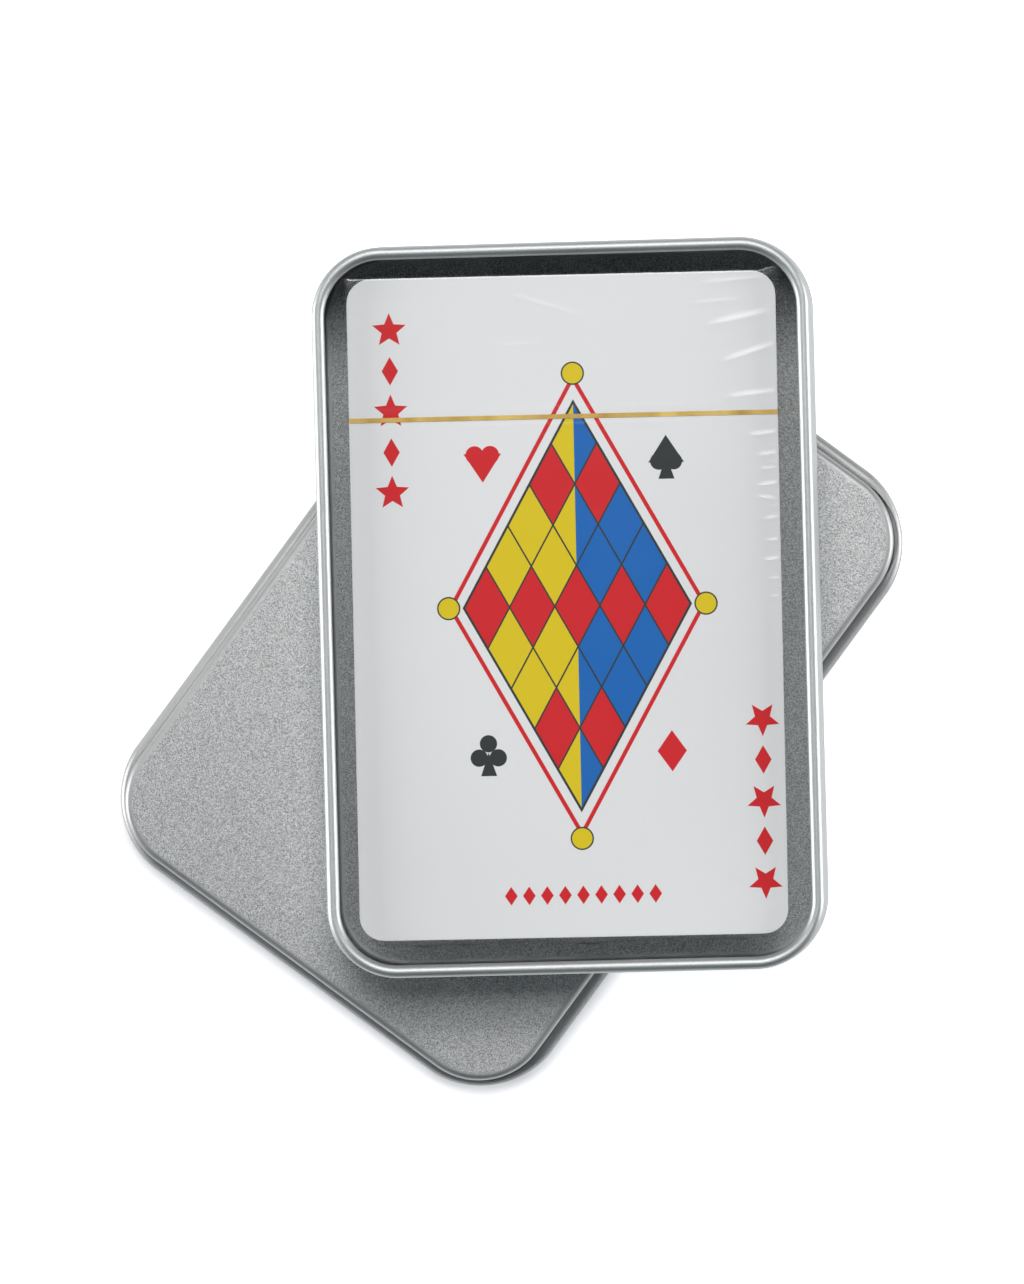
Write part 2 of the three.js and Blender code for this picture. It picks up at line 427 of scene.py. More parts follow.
base_wall = (BASE_WIDTH - SHEET) / 2, (BASE_LENGTH - SHEET) / 2, WALL_CORNER - SHEET / 2
lid_out = LID_CLEARANCE + SHEET / 2
lid_wall = BASE_WIDTH / 2 + lid_out, BASE_LENGTH / 2 + lid_out, WALL_CORNER + lid_out
base_shell = drawn_pan("base_shell", *base_wall, wall_of_base, 0.0, BASE_PLACE, lightened_base_tinplate)
lid_shell = drawn_pan("lid_shell", *lid_wall, wall_of_lid, LID_TURN, LID_PLACE, lid_tinplate)
for shell, body, node in ((base_shell, "base", "base_tin"), (lid_shell, "lid", "lid")):
    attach(shell, body)
    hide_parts(node)
    print(shell.name, len(shell.data.polygons), "faces")

# %% [markdown]
# ## Fifty-four cards
#
# A deck is one card repeated, so Geometry Nodes make it. The tree draws a rounded rectangle, gives it
# the card's thickness with a tiny chamfer at both faces, and puts one on each point of an upright line.
# A seeded random value moves each card across and along by up to three hundredths of a millimetre, as in
# a real deck. The result becomes plain meshes, one for each card, so that every card stays a piece of its
# own.


# %% The deck's node tree
def group_input(tree, name, kind, value):
    socket = tree.interface.new_socket(name, in_out="INPUT", socket_type=kind)
    if value is not None:
        socket.default_value = value
    return socket


def add(tree, kind, links=(), **settings):
    """A node with its settings, and with sockets linked or set by their names."""
    node = tree.nodes.new(kind)
    for name, value in settings.items():
        setattr(node, name, value)
    for place, value in dict(links).items():
        socket = node.inputs[place]
        if isinstance(value, bpy.types.NodeSocket):
            tree.links.new(value, socket)
        else:
            socket.default_value = value
    return node


CHAMFER, LOOSENESS = 0.03, 0.03
CARD_CORNER_STEPS = 6
WELD = 0.001
tree = bpy.data.node_groups.new("deck_of_cards", "GeometryNodeTree")
tree.interface.new_socket("Geometry", in_out="OUTPUT", socket_type="NodeSocketGeometry")
sizes = {
    "Width": ("NodeSocketFloat", (CARD_WIDTH - 2 * CHAMFER) * MM),
    "Length": ("NodeSocketFloat", (CARD_LENGTH - 2 * CHAMFER) * MM),
    "Corner radius": ("NodeSocketFloat", CARD_CORNER * MM),
    "Chamfer": ("NodeSocketFloat", CHAMFER * MM),
    "Edge height": ("NodeSocketFloat", (CARD_THICKNESS - 2 * CHAMFER) * MM),
    "Chamfer scale": ("NodeSocketFloat", CARD_WIDTH / (CARD_WIDTH - 2 * CHAMFER)),
    "Cards": ("NodeSocketInt", CARD_COUNT),
    "Pitch": ("NodeSocketFloat", CARD_PITCH * MM),
    "Looseness": ("NodeSocketFloat", LOOSENESS * MM),
    "Seed": ("NodeSocketInt", 7),
    "Place": ("NodeSocketVector", None),
    "Turn": ("NodeSocketVector", None),
    "Stock": ("NodeSocketMaterial", None),
}
sockets = {name: group_input(tree, name, *kind) for name, kind in sizes.items()}
given = tree.nodes.new("NodeGroupInput").outputs
print("deck tree inputs:", list(sockets))

# %% One card, then a stack of them
outline = add(tree, "GeometryNodeCurvePrimitiveQuadrilateral", {
    "Width": given["Width"], "Height": given["Length"]}, mode="RECTANGLE")
fillet = add(tree, "GeometryNodeFilletCurve", {
    "Curve": outline.outputs[0], "Radius": given["Corner radius"], "Count": CARD_CORNER_STEPS}, mode="POLY")
face = add(tree, "GeometryNodeFillCurve", {"Curve": fillet.outputs[0]}, mode="NGONS").outputs[0]
under = add(tree, "GeometryNodeFlipFaces", {"Mesh": face}).outputs[0]
top = None
shrink = add(tree, "ShaderNodeMath", {0: 1.0, 1: given["Chamfer scale"]}, operation="DIVIDE")
for rise, spread in (("Chamfer", given["Chamfer scale"]), ("Edge height", None),
                     ("Chamfer", shrink.outputs[0])):
    links = {"Mesh": face, "Offset Scale": given[rise], "Individual": False}
    if top is not None:
        links["Selection"] = top
    step = add(tree, "GeometryNodeExtrudeMesh", links, mode="FACES")
    face, top = step.outputs["Mesh"], step.outputs["Top"]
    if spread is not None:
        face = add(tree, "GeometryNodeScaleElements", {
            "Geometry": face, "Selection": top, "Scale": spread}, domain="FACE").outputs[0]
join = tree.nodes.new("GeometryNodeJoinGeometry")
tree.links.new(face, join.inputs[0])
tree.links.new(under, join.inputs[0])
card = add(tree, "GeometryNodeMergeByDistance", {"Geometry": join.outputs[0], "Distance": WELD * MM})

step_up = add(tree, "ShaderNodeCombineXYZ", {"Z": given["Pitch"]})
line = add(tree, "GeometryNodeMeshLine", {
    "Count": given["Cards"], "Offset": step_up.outputs[0]}, mode="OFFSET")
jitter = add(tree, "FunctionNodeRandomValue", {"Seed": given["Seed"]}, data_type="FLOAT_VECTOR")
jitter.inputs[0].default_value = (-1, -1, 0)
jitter.inputs[1].default_value = (1, 1, 0)
shift = add(tree, "ShaderNodeVectorMath", {0: jitter.outputs[0]}, operation="SCALE")
tree.links.new(given["Looseness"], shift.inputs["Scale"])
loose = add(tree, "GeometryNodeSetPosition", {
    "Geometry": line.outputs[0], "Offset": shift.outputs[0]})
stack = add(tree, "GeometryNodeInstanceOnPoints", {
    "Points": loose.outputs[0], "Instance": card.outputs[0]})
real = add(tree, "GeometryNodeRealizeInstances", {"Geometry": stack.outputs[0]})
placed = add(tree, "GeometryNodeTransform", {
    "Geometry": real.outputs[0], "Translation": given["Place"], "Rotation": given["Turn"]})
finished = add(tree, "GeometryNodeSetMaterial", {
    "Geometry": placed.outputs[0], "Material": given["Stock"]})
tree.links.new(finished.outputs[0], tree.nodes.new("NodeGroupOutput").inputs[0])
print("deck tree nodes:", len(tree.nodes))

# %% [markdown]
# ## Card stock
#
# Playing cards are coated paper: nearly white, a little cool and semi-matt, with a very fine fibre. Each
# card's cut edge differs a little from the next one's, which lets the cards be told apart in the side of
# the deck.

# %% Card stock
FIBRE, LAYER, FIBRE_DEPTH = 0.8, 0.6, 0.002


def stock_colour(tree, place):
    """(colour, fibre) of the stock. The layer noise is flat and wide, so that it differs card by card."""
    fibre = noise(tree, place, FIBRE, detail=3.0)
    layer = noise(tree, place, LAYER, detail=0.0, stretch=(90, 90, 1))
    tone = (fibre - 0.5) * 0.25 + layer
    darker, lighter = (0.75, 0.752, 0.755, 1), (0.79, 0.792, 0.795, 1)
    return blend_colour(tree, between(tone, 0.3, 0.7), darker, lighter), fibre


card_stock, tree, shader = new_material("card_stock")
place = millimetres(tree, DECK_PLACE, DECK_TURN)
colour, fibre = stock_colour(tree, place)
feed(tree, shader.inputs["Base Color"], colour)
shader.inputs["Roughness"].default_value = 0.55
shader.inputs["Specular IOR Level"].default_value = 0.3
feed(tree, shader.inputs["Normal"], bump(tree, fibre, FIBRE_DEPTH))
print("made", card_stock.name)

# %% [markdown]
# ## The printed face
#
# The top card carries a generic print: a chequered lozenge with a round spot off each tip, the four suits
# round it, a column of stars and drops in two opposite corners, and a row of small lozenges at the foot.
# Each motif is a distance: a sum that is positive inside the shape and negative outside, in millimetres.
# Ink covers the stock where the distance is positive, and the changeover is a twentieth of a millimetre
# wide, so that the edges stay smooth.


# %% Shapes as distances
def lozenge(x, y, half_width, half_height):
    scale = half_width * half_height / math.hypot(half_width, half_height)
    return (1.0 - abs(x) / half_width - abs(y) / half_height) * scale


def disc(x, y, radius):
    return radius - (x * x + y * y).maths("SQRT")


def star(x, y, radius, waist):
    """A five-pointed star: one edge is measured, after the angle is folded into half a point."""
    point = math.pi / 5
    angle = abs(x.maths("ARCTAN2", y).maths("WRAP", point, -point))
    reach = (x * x + y * y).maths("SQRT")
    edge_x, edge_y = waist * math.cos(point) - radius, waist * math.sin(point)
    length = math.hypot(edge_x, edge_y)
    along = reach * angle.maths("COSINE") - radius
    aside = reach * angle.maths("SINE")
    return (aside * edge_x - along * edge_y) * (1 / length)


def heart(x, y, size):
    lobe = disc(abs(x) - 0.45 * size, y - 0.35 * size, 0.52 * size)
    tip_x, tip_y = 0.93 * size, 1.42 * size
    point = (tip_x * (y + 1.25 * size) - tip_y * abs(x)) * (1 / math.hypot(tip_x, tip_y))
    return most(lobe, least(point, 0.42 * size - y))


def stem(x, y, size):
    return least((y * -0.34 + 0.04 * size) - abs(x), y + 1.25 * size)


def spade(x, y, size):
    return most(heart(x, 0.1 * size - y, size * 0.95), stem(x, y, size))


def club(x, y, size):
    top = disc(x, y - 0.62 * size, 0.5 * size)
    side = disc(abs(x) - 0.55 * size, y + 0.2 * size, 0.5 * size)
    return either((top, side, stem(x, y, size)))


def diamond(x, y, size):
    return lozenge(x, y, 1.95 / 2.3 * size, 2.75 / 2.3 * size)


print("shapes are ready")

# %% Ink on the face
RED, BLUE = (0.64, 0.010, 0.016, 1), (0.003, 0.13, 0.46, 1)
YELLOW, BLACK = (0.72, 0.55, 0.006, 1), (0.028, 0.034, 0.034, 1)
INK_EDGE = 0.025
PRINT_SHIFT = 1.35
COLUMN_OUT, COLUMN_TOP, COLUMN_PITCH = 24.25, 37.1, 10.8
STAR_RADIUS, STAR_WAIST = 2.35, 1.05
DROP_HALF_WIDTH, DROP_HALF_HEIGHT = 1.1, 1.9


def ink(tree, colour, distance, paper):
    cover = between(distance, -INK_EDGE, INK_EDGE)
    return blend_colour(tree, cover, paper, colour)


def first_places(count, number):
    """Positive over the first places of a column, and negative before and after them."""
    return least(count + 0.5, (number - 0.5) - count)


printed_face, tree, shader = new_material("printed_face")
place = millimetres(tree, DECK_PLACE, DECK_TURN)
colour, fibre = stock_colour(tree, place)
across, along, _ = apart(tree, place)
across = across - PRINT_SHIFT

# The columns: the right half is the left half turned by half a turn. A drop lies between two stars.
side = across.maths("SIGN")
column_x = abs(across) * -1.0 + COLUMN_OUT
column_y = along * (side * -1.0)
count = (COLUMN_TOP - column_y) / COLUMN_PITCH
step = count.maths("ROUND")
one_star = star(column_x, (step - count) * COLUMN_PITCH, STAR_RADIUS, STAR_WAIST)
stars = least(one_star, first_places(count, 3))
count = count - 0.5
step = count.maths("ROUND")
one_drop = lozenge(column_x, (count - step) * COLUMN_PITCH, DROP_HALF_WIDTH, DROP_HALF_HEIGHT)
drops = least(one_drop, first_places(count, 2))
colour = ink(tree, RED, most(stars, drops), colour)
print("columns are drawn")

# %% The chequered lozenge
HALF_WIDTH, HALF_HEIGHT, CELLS = 15.0, 27.0, 5
CELL_LINE, FIELD_LINE = 0.11, 0.22
FRAME_OUT, FRAME_LINE = 1.6, 0.28
SPOT_RADIUS, SPOT_LINE = 1.35, 0.2
SPOT_X, SPOT_Y = HALF_WIDTH + 2.1, HALF_HEIGHT + 3.9
rise = (across / HALF_WIDTH + along / HALF_HEIGHT + 1.0) * (CELLS / 2)
fall = (across / HALF_WIDTH - along / HALF_HEIGHT + 1.0) * (CELLS / 2)
cell_rise, cell_fall = rise.maths("FLOOR"), fall.maths("FLOOR")
pick = (cell_rise - cell_fall).maths("FLOORED_MODULO", 3.0)
halves = blend_colour(tree, between(across, -0.02, 0.02), YELLOW, BLUE)
checks = blend_colour(tree, between(pick, 0.4, 0.6), RED, halves)
cell_edge = least(abs(rise - rise.maths("ROUND")), abs(fall - fall.maths("ROUND")))
cell_size = 2 * HALF_WIDTH * HALF_HEIGHT / math.hypot(HALF_WIDTH, HALF_HEIGHT) / CELLS
checks = ink(tree, BLACK, CELL_LINE - cell_edge * cell_size, checks)
field = lozenge(across, along, HALF_WIDTH, HALF_HEIGHT)
colour = ink(tree, BLACK, field + FIELD_LINE, colour)
colour = ink(tree, checks, field, colour)
colour = ink(tree, RED, FRAME_LINE - abs(field + FRAME_OUT), colour)
for x, y in ((0, SPOT_Y), (0, -SPOT_Y), (SPOT_X, 0), (-SPOT_X, 0)):
    spot = disc(across - x, along - y, SPOT_RADIUS)
    colour = ink(tree, BLACK, spot + SPOT_LINE, colour)
    colour = ink(tree, YELLOW, spot, colour)
print("lozenge is drawn")

# %% Suits, and the row at the foot
SUIT_X, SUIT_Y, SUIT_SIZE = 12.2, 19.5, 2.3
ROW_PITCH, ROW_BELOW, ROW_COUNT = 2.4, 38.4, 9
for shape, x, y, tone in ((heart, -SUIT_X, SUIT_Y, RED), (spade, SUIT_X, SUIT_Y, BLACK),
                          (club, -SUIT_X, -SUIT_Y, BLACK), (diamond, SUIT_X, -SUIT_Y, RED)):
    colour = ink(tree, tone, shape(across - x, along - y, SUIT_SIZE), colour)
row = across / ROW_PITCH
row_x = (row - row.maths("ROUND")) * ROW_PITCH
small = lozenge(row_x, along + ROW_BELOW, 0.85, 1.25)
colour = ink(tree, RED, least(small, ROW_COUNT / 2 - abs(row)), colour)
feed(tree, shader.inputs["Base Color"], colour)
shader.inputs["Roughness"].default_value = 0.5
shader.inputs["Specular IOR Level"].default_value = 0.15
feed(tree, shader.inputs["Normal"], bump(tree, fibre, FIBRE_DEPTH))
print("printed face has", len(tree.nodes), "nodes")

# %% Making the cards
tree = bpy.data.node_groups["deck_of_cards"]
maker = bpy.data.objects.new("deck_maker", bpy.data.meshes.new("deck_maker"))
bpy.context.scene.collection.objects.link(maker)
modifier = maker.modifiers.new("deck", "NODES")
modifier.node_group = tree
modifier[sockets["Place"].identifier] = DECK_PLACE
modifier[sockets["Turn"].identifier] = (0.0, 0.0, DECK_TURN)
modifier[sockets["Stock"].identifier] = card_stock
whole = bpy.data.meshes.new_from_object(maker.evaluated_get(bpy.context.evaluated_depsgraph_get()))
maker.modifiers.remove(modifier)
bpy.data.objects.remove(maker)
points_each, faces_each = len(whole.vertices) // CARD_COUNT, len(whole.polygons) // CARD_COUNT
for number in range(CARD_COUNT):
    name = f"playing_card_{number + 1:02d}"
    first = number * points_each
    points = [v.co for v in whole.vertices[first:first + points_each]]
    loops = [[i - first for i in polygon.vertices]
             for polygon in whole.polygons[number * faces_each:(number + 1) * faces_each]]
    mesh = bpy.data.meshes.new(name)
    mesh.from_pydata(points, [], loops)
    mesh.materials.append(card_stock)
    if number == CARD_COUNT - 1:
        mesh.materials.append(printed_face)
        face = max(mesh.polygons, key=lambda polygon: polygon.center.z)
        face.material_index = 1
    piece = bpy.data.objects.new(name, mesh)
    bpy.context.scene.collection.objects.link(piece)
    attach(piece, "deck")
    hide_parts(f"card_{number + 1:02d}")
print(CARD_COUNT, "cards,", faces_each, "faces each, top at", round(points[-1].z / MM, 3), "mm")

# %% [markdown]
# ## Gold tear tape
#
# A narrow gold strip runs round the deck under the film. Pulling it opens the wrap. The CAD strip has
# the right shape, so it stays and only gets its finish: gold foil that is brushed along its length, with
# a few paler and darker stretches.

# %% Gold tape
gold, tree, shader = new_material("gold_tape")
place = millimetres(tree, DECK_PLACE, DECK_TURN)
stretch = noise(tree, place, 4.0, detail=3.0, stretch=(1, 8, 3))
darker, paler = (0.36, 0.22, 0.05, 1), (0.62, 0.45, 0.14, 1)
feed(tree, shader.inputs["Base Color"], blend_colour(tree, between(stretch, 0.3, 0.7), darker, paler))
shader.inputs["Metallic"].default_value = 1.0
feed(tree, shader.inputs["Roughness"], between(stretch, 0.2, 0.8, bottom=0.40, top=0.55))
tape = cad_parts["tear_tape"]
tape.data.materials.clear()
tape.data.materials.append(gold)
print("tape finish on", tape.name)

# %% [markdown]
# ## Clear film
#
# The wrap is a clear film folded round the deck like a parcel. Film is seen only by its gloss and by the
# haze of its folds. The shader mixes a glossy coat with full transparency: two hundredths of gloss
# everywhere, and more where the attribute named haze marks a fold or a crease. Only the gathered film at
# the near end is hazier than the folds, and there the coat turns from white to dark: a painted shade for
# the dark band along the gathered film.

# %% Film finish
film, tree, shader = new_material("clear_film")
shader.inputs["Metallic"].default_value = 0.6
place = millimetres(tree, DECK_PLACE, DECK_TURN)
ripple = noise(tree, place, 9.0)
feed(tree, shader.inputs["Roughness"], between(ripple, 0.2, 0.8, bottom=0.16, top=0.28))
feed(tree, shader.inputs["Normal"], bump(tree, ripple, 0.06))
attribute = tree.nodes.new("ShaderNodeAttribute")
attribute.attribute_name = "haze"
haze = Wire(tree, attribute.outputs["Fac"])
# Where the film is gathered, the coat turns from white to dark: a painted shade along the gathered film.
gathered = between(haze, 0.20, 0.40)
white, painted_shade_grey = (1, 1, 1, 1), (0.22, 0.25, 0.25, 1)
feed(tree, shader.inputs["Base Color"], blend_colour(tree, gathered, white, painted_shade_grey))
clear = tree.nodes.new("ShaderNodeBsdfTransparent")
mix = tree.nodes.new("ShaderNodeMixShader")
SMOOTH_GLOSS = 0.02
feed(tree, mix.inputs["Fac"], haze + SMOOTH_GLOSS)
tree.links.new(clear.outputs[0], mix.inputs[1])
tree.links.new(shader.outputs[0], mix.inputs[2])
tree.links.new(mix.outputs[0], tree.nodes["Material Output"].inputs["Surface"])
print("made", film.name)

# %% [markdown]
# ## Folding the film
#
# The wrap could be a cube with a wrinkle texture, but real creases catch the light because the film
# leans there. So the top is a fine grid, raised along each crease in the list below, and the haze
# attribute is written from the same list. Long creases run in from the right edge beyond the tape, where
# the film was pulled round the deck, with a dozen short ones nearer, a few faint ones elsewhere and three
# seams beside the tape. A place is given in millimetres right of and above the deck's middle.

# %% Creases of the film
FILM_ROOM = 0.38
WRAP = Vector((CARD_WIDTH + FILM_ROOM, CARD_LENGTH + FILM_ROOM, DECK_HEIGHT + FILM_ROOM))
# start x, y; end x, y; half width; height; haze
CREASES = [
    (26.9, 38.2, 20.0, 36.8, 0.60, 0.105, 0.046),
    (28.0, 33.9, 21.6, 31.9, 0.55, 0.100, 0.055),
    (28.2, 27.7, 22.0, 27.1, 0.52, 0.092, 0.050),
    (23.3, 40.1, 17.6, 39.7, 0.34, 0.040, 0.025),
    (28.3, 22.3, 24.8, 22.0, 0.44, 0.092, 0.050),
    (28.3, 19.6, 25.8, 19.3, 0.38, 0.080, 0.050),
    (28.3, 18.5, 27.0, 18.5, 0.28, 0.056, 0.035),
    (28.3, 17.7, 26.2, 17.5, 0.34, 0.074, 0.046),
    (28.3, 15.6, 25.8, 15.3, 0.40, 0.088, 0.052),
    (27.9, 13.4, 25.8, 13.9, 0.36, 0.084, 0.058),
    (28.3, 12.6, 27.1, 12.5, 0.28, 0.062, 0.036),
    (28.3, 11.1, 26.5, 10.9, 0.34, 0.084, 0.048),
    (28.3, 8.1, 26.8, 8.0, 0.32, 0.078, 0.048),
    (28.3, 5.6, 26.4, 5.4, 0.36, 0.088, 0.052),
    (28.3, 3.0, 27.0, 2.9, 0.30, 0.066, 0.042),
    (28.3, 0.6, 27.0, 0.5, 0.30, 0.066, 0.042),
    (27.5, 43.0, 19.0, 42.4, 0.35, 0.048, 0.030),
    (-7.0, 41.5, 2.8, 38.4, 0.35, 0.040, 0.018),
    (-9.0, 34.6, -2.0, 34.9, 0.30, 0.032, 0.012),
    (-28.0, -42.6, -24.0, -39.4, 0.35, 0.040, 0.018),
    (27.9, -42.2, 21.0, -36.4, 0.40, 0.048, 0.018),
    (24.5, -38.6, 17.5, -33.8, 0.30, 0.032, 0.012),
    (-28.4, 25.9, 28.4, 25.9, 0.18, 0.032, 0.012),
    (-28.4, 26.4, 28.4, 26.4, 0.18, 0.032, 0.012),
    (-28.4, 24.1, 28.4, 24.1, 0.18, 0.032, 0.012),
]


def bell_curve(distance, half_width):
    return math.exp(-(distance / half_width) ** 2)


def crease_at(x, y):
    """(height, haze) of the film over one place of the deck.

    A crease swells towards its middle and fades out sideways. Its haze lies on its far slope.
    """
    height = haze = 0.0
    for x0, y0, x1, y1, half_width, rise, veil in CREASES:
        run, place = Vector((x1 - x0, y1 - y0)), Vector((x - x0, y - y0))
        share = min(1.0, max(0.0, place.dot(run) / run.length_squared))
        off = place - run * share
        if off.length < 4 * half_width:
            swell = 0.25 + 0.75 * math.sin(math.pi * (0.12 + 0.76 * share))
            height += rise * swell * bell_curve(off.length, half_width)
            off.y -= 0.5 * half_width
            haze += veil * swell * bell_curve(off.length, half_width)
    return height, haze


print(len(CREASES), "creases, wrap", tuple(round(v, 2) for v in WRAP), "mm")

# %% [markdown]
# ## Sides and ends of the wrap
#
# From the rim of the top grid, the sides go down in rings. Over the first four millimetres they lie a
# quarter of a millimetre apart, because at the near end the film is gathered into a soft roll just below
# its top edge. Farther down they are a millimetre apart or more. Each end has two folded flaps. They are
# single open sheets laid on the closed wrap: as thin boxes they would put so many clear layers behind each
# other that the renderer shows them dark.

# %% The wrap's corners and the gathered film
FOLD = 0.25
GRID_X, GRID_Y = 0.34, 0.22
# Corner radius of the wrap for each sign of x and y. The far left corner stays nearly square.
ROUNDING = {(-1, 1): 1.0, (1, 1): 2.9, (-1, -1): 2.9, (1, -1): 2.0}
GATHER_DEPTH, GATHER_HALF_HEIGHT = 1.6, 1.1


def drawn_round(x, y):
    """The same place after the film's square corner is pulled to a rounded one."""
    radius = ROUNDING[1 if x > 0 else -1, 1 if y > 0 else -1]
    in_x, in_y = abs(x) - WRAP.x / 2 + radius, abs(y) - WRAP.y / 2 + radius
    if in_x <= 0 or in_y <= 0:
        return x, y
    pull = max(in_x, in_y) / math.hypot(in_x, in_y) - 1
    return x + math.copysign(in_x * pull, x), y + math.copysign(in_y * pull, y)


def stations(half, pitch):
    count = round(2 * half / pitch)
    return [half * (2 * i / count - 1) for i in range(count + 1)]


def gather(x, down):
    """How far the gathered film stands out from the near end, down from its top edge."""
    from_corner = WRAP.x / 2 - 2.0 - abs(x)
    room = max(0.0, min(1.0, from_corner / 5.0))
    reach = 0.50 + 0.30 * math.sin(0.31 * x + 0.8) + 0.14 * math.sin(0.83 * x)
    return room * reach * bell_curve(down - GATHER_DEPTH, GATHER_HALF_HEIGHT)


print("the gathered film reaches", round(gather(0.0, GATHER_DEPTH), 2), "mm out at the middle")

# %% The wrap's top and sides
# The last haze, on the gathered film, also brings in the coat's painted shade.
SIDE_HAZE, EDGE_HAZE, TIP_HAZE, GATHER_HAZE_AND_PAINTED_SHADE = 0.03, 0.03, 0.12, 0.40


def top_point(x, y):
    """(place, haze) of one point of the top. It fades to flat within 0.6 mm of the wrap's edge."""
    height, veil = crease_at(x, y)
    inset = min(WRAP.x / 2 - abs(x), WRAP.y / 2 - abs(y))
    bulge = 0.05 * (1 - math.exp(-inset / 3.0)) + 0.01 * math.sin(x * 0.31 + y * 0.17)
    far_left_tip = math.hypot(x + WRAP.x / 2, y - WRAP.y / 2)
    haze = veil + EDGE_HAZE * bell_curve(inset - FOLD, 0.25) + TIP_HAZE * bell_curve(far_left_tip, 1.6)
    return (x, y, WRAP.z + (height + bulge) * min(1.0, inset / 0.6)), haze


def wrap_mesh():
    side, end, high = WRAP.x / 2 - FOLD, WRAP.y / 2 - FOLD, WRAP.z
    xs, ys = stations(side, GRID_X), stations(end, GRID_Y)
    top = [top_point(x, y) for y in ys for x in xs]
    points, haze, faces = [point for point, _ in top], [veil for _, veil in top], []
    wide, long = len(xs), len(ys)
    for j in range(long - 1):
        for i in range(wide - 1):
            corner = j * wide + i
            faces.append((corner, corner + 1, corner + wide + 1, corner + wide))
    near_edge, right_edge = list(range(wide)), [j * wide + wide - 1 for j in range(1, long)]
    far_edge = [(long - 1) * wide + i for i in range(wide - 2, -1, -1)]
    left_edge = [j * wide for j in range(long - 2, 0, -1)]
    rim = near_edge + right_edge + far_edge + left_edge
    steps_down = [*range(1, 16), *range(16, 57, 4)]
    rows = [(0.7 * FOLD, 0.29 * FOLD), *((FOLD, step * FOLD) for step in steps_down)]
    rows += [(FOLD, high - FOLD), (0.7 * FOLD, high)]
    upper = rim
    for out, down in rows:
        lower = []
        for index in rim:
            x, y, _ = points[index]
            near = abs(y + end) < 1e-9
            x += math.copysign(out, x) if abs(abs(x) - side) < 1e-9 else 0.0
            y += math.copysign(out, y) if abs(abs(y) - end) < 1e-9 else 0.0
            pucker = gather(x, down) if near else 0.0
            lower.append(len(points))
            points.append((x, y - pucker, high - down))
            haze.append(SIDE_HAZE + GATHER_HAZE_AND_PAINTED_SHADE * min(1.0, pucker / 0.8))
        for k in range(len(rim)):
            after = (k + 1) % len(rim)
            faces.append((upper[after], upper[k], lower[k], lower[after]))
        upper = lower
    faces.append(tuple(reversed(upper)))
    return [(*drawn_round(x, y), z) for x, y, z in points], haze, faces


points, haze, faces = wrap_mesh()
print("closed wrap:", len(points), "points,", len(faces), "faces")

# %% The folded flaps
FLAP_FROM_CORNER, FLAP_FROM_EDGE = 3.0, 0.15
# share of the flap's size; haze; how far it stands out
FLAP_RINGS = ((1.0, 0.22, 0.0), (0.985, 0.10, 0.02), (0.93, 0.03, 0.02))


def end_fold(points, haze, faces, share, depth, from_top, end):
    """A folded flap: a trapezium over one end of the wrap, hazy along its edges."""
    foot, rise = WRAP.x / 2 - FLAP_FROM_CORNER, share * WRAP.z
    low = FLAP_FROM_EDGE
    outline = [(-foot, low), (foot, low), (foot - rise, rise), (rise - foot, rise)]
    middle = rise / 2
    rings = []
    for shrink, veil, out in FLAP_RINGS:
        ring = []
        for x, z in outline:
            x, z = x * shrink, middle + (z - middle) * shrink
            z = WRAP.z - z if from_top else z
            ring.append(len(points))
            points.append((x, end * (WRAP.y / 2 + (depth + out)), z))
            haze.append(veil)
        rings.append(ring)
    turned = (end > 0) == from_top
    for outer, inner in zip(rings, rings[1:]):
        for k in range(4):
            after = (k + 1) % 4
            quad = (outer[k], outer[after], inner[after], inner[k])
            faces.append(quad if turned else quad[::-1])
    faces.append(tuple(rings[-1]) if turned else tuple(reversed(rings[-1])))


for end in (-1, 1):
    end_fold(points, haze, faces, share=0.68, depth=0.03, from_top=False, end=end)
    end_fold(points, haze, faces, share=0.60, depth=0.07, from_top=True, end=end)
floor_of_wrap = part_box("film_wrap")[0].z
move = (Matrix.Translation((DECK_PLACE.x, DECK_PLACE.y, floor_of_wrap))
        @ Matrix.Rotation(DECK_TURN, 4, "Z") @ Matrix.Scale(MM, 4))
mesh = bpy.data.meshes.new("clear_wrap")
mesh.from_pydata([move @ Vector(p) for p in points], [], faces)
mesh.materials.append(film)
mesh.shade_smooth()
mesh.set_sharp_from_angle(angle=math.radians(60))
mesh.attributes.new("haze", "FLOAT", "POINT").data.foreach_set("value", haze)
wrap = bpy.data.objects.new("clear_wrap", mesh)
bpy.context.scene.collection.objects.link(wrap)
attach(wrap, "deck")
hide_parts("film_wrap")
print(wrap.name, len(mesh.polygons), "faces")

# %% [markdown]
# ## Floor, world and lamps
#
# The photograph was taken on white paper in a light tent. The paper glows, but only for the camera,
# through clear film and by half in reflections, so the ground reads white while the soft shadow stays.
# Close beside the hem on the near side the paper's glowing is turned down, as a painted shadow of the lid.
# The world is dim on the near side and brighter on the far side. Soft panels stand left and right, and two
# more stand high on the far side. The rolled rim shows them as bright lines.

# %% Floor and world
# The second number is how deep the painted shadow beside the hem is, and the third its width in
# millimetres.
PAPER_GLOW, PAINTED_SHADOW_DEPTH, SHADE_WIDTH = 0.82, 0.45, 1.6
HEM_OUT = 2.5


def seen_directly(tree):
    """1 for the camera and through glass, and a half in reflections.

    The film needs no share of its own, because a camera ray stays a camera ray when it goes through it.
    """
    path = tree.nodes.new("ShaderNodeLightPath").outputs
    camera = Wire(tree, path["Is Camera Ray"])
    glossy = Wire(tree, path["Is Glossy Ray"])
    through = Wire(tree, path["Is Transmission Ray"])
    return either((camera, through, glossy * 0.5))


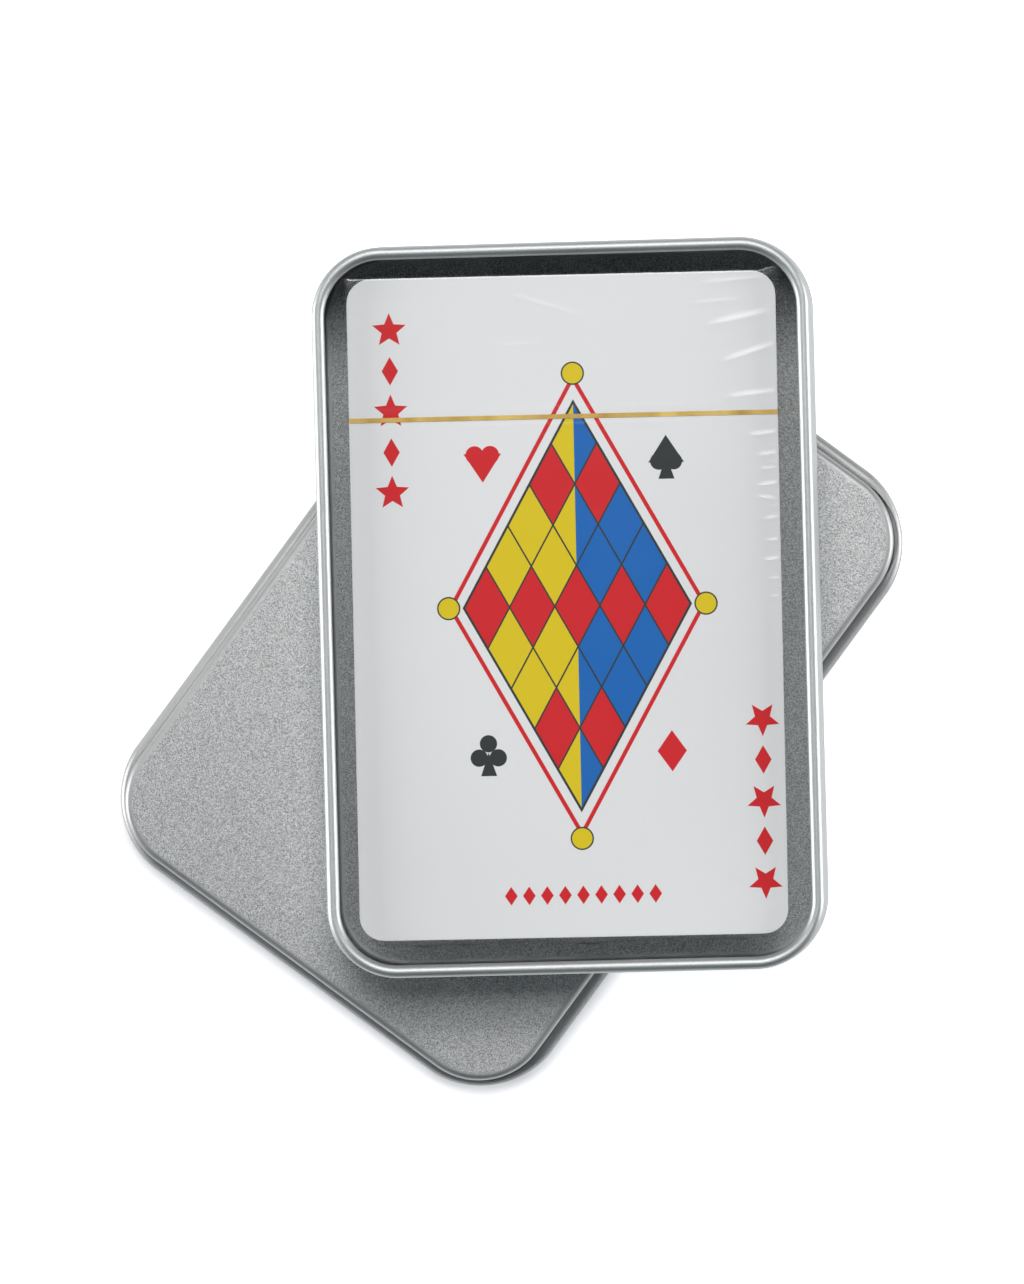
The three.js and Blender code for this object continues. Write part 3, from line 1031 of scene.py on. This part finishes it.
def painted_lid_shadow(tree):
    """Painted shadow: 1 at the hem on the near side, whatever the camera does, and 0 where it ends."""
    across, along, _ = apart(tree, millimetres(tree, LID_PLACE, LID_TURN))
    radius = WALL_CORNER + HEM_OUT
    out_x = most(abs(across) - (BASE_WIDTH / 2 + HEM_OUT - radius), 0.0)
    out_y = most(abs(along) - (BASE_LENGTH / 2 + HEM_OUT - radius), 0.0)
    gap = (out_x * out_x + out_y * out_y).maths("SQRT") - radius
    away = across * math.sin(LID_TURN) + along * math.cos(LID_TURN)
    near_side = between(away, -10.0, 0.0, bottom=1.0, top=0.0, smooth=True)
    return between(gap, 0.0, SHADE_WIDTH, bottom=1.0, top=0.0) * near_side


paper, tree, shader = new_material("white_paper")
fibre = noise(tree, millimetres(tree), 3.0)
# The paper's glowing, less a painted shadow beside the hem on the near side.
glow_and_painted_shadow = (PAPER_GLOW - painted_lid_shadow(tree) * PAINTED_SHADOW_DEPTH) * seen_directly(tree)
darker, lighter = (0.78, 0.77, 0.76, 1), (0.82, 0.81, 0.80, 1)
feed(tree, shader.inputs["Base Color"], blend_colour(tree, fibre, darker, lighter))
shader.inputs["Roughness"].default_value = 0.9
shader.inputs["Specular IOR Level"].default_value = 0.0
# The glowing's blue tint over the warmer paper shows only in shadow: it paints the shadows bluish.
shader.inputs["Emission Color"].default_value = (0.94, 0.96, 1, 1)
feed(tree, shader.inputs["Emission Strength"], glow_and_painted_shadow)

floor_mesh = bpy.data.meshes.new("floor")
floor_mesh.from_pydata([(-4, -4, 0), (4, -4, 0), (4, 4, 0), (-4, 4, 0)], [], [(0, 1, 2, 3)])
floor_mesh.materials.append(paper)
floor = bpy.data.objects.new("floor", floor_mesh)
bpy.context.scene.collection.objects.link(floor)

world = bpy.data.worlds.new("light_tent")
world.use_nodes = True
bpy.context.scene.world = world
tree = world.node_tree
sky = tree.nodes["Background"]
direction = tree.nodes.new("ShaderNodeTexCoord")
_, along, _ = apart(tree, direction.outputs["Generated"])
far_share = between(along, -0.2, 0.6, smooth=True)
near_grey, far_grey = (0.05, 0.07, 0.08, 1), (0.17, 0.17, 0.17, 1)
feed(tree, sky.inputs["Color"], blend_colour(tree, far_share, near_grey, far_grey))
sky.inputs["Strength"].default_value = 1.0
print("floor and world are ready")


# %% Soft panels
def soft_panel(name, azimuth, elevation, width, height, radiance, distance=2.6):
    """A lamp aimed at the tin. Azimuth 0 is on the right and 90 is the far side, in degrees."""
    lamp = bpy.data.lights.new(name, "AREA")
    lamp.shape = "RECTANGLE"
    lamp.size, lamp.size_y = width, height
    lamp.energy = radiance * math.pi * width * height
    a, e = math.radians(azimuth), math.radians(elevation)
    ray = Vector((math.cos(a) * math.cos(e), math.sin(a) * math.cos(e), math.sin(e)))
    panel = bpy.data.objects.new(name, lamp)
    panel.location = ray * distance
    panel.rotation_euler = ray.to_track_quat("Z", "Y").to_euler()
    bpy.context.scene.collection.objects.link(panel)
    print(name, "at", tuple(round(v, 2) for v in panel.location), "m")


soft_panel("panel_left", azimuth=180, elevation=14, width=1.1, height=1.1, radiance=12.5)
soft_panel("panel_right", azimuth=0, elevation=15, width=1.1, height=1.2, radiance=10.5)
soft_panel("panel_far", azimuth=90, elevation=60, width=1.1, height=0.7, radiance=10.2)
soft_panel("panel_top", azimuth=90, elevation=73, width=1.1, height=0.75, radiance=6.0)

# %% The end
bpy.context.view_layer.update()
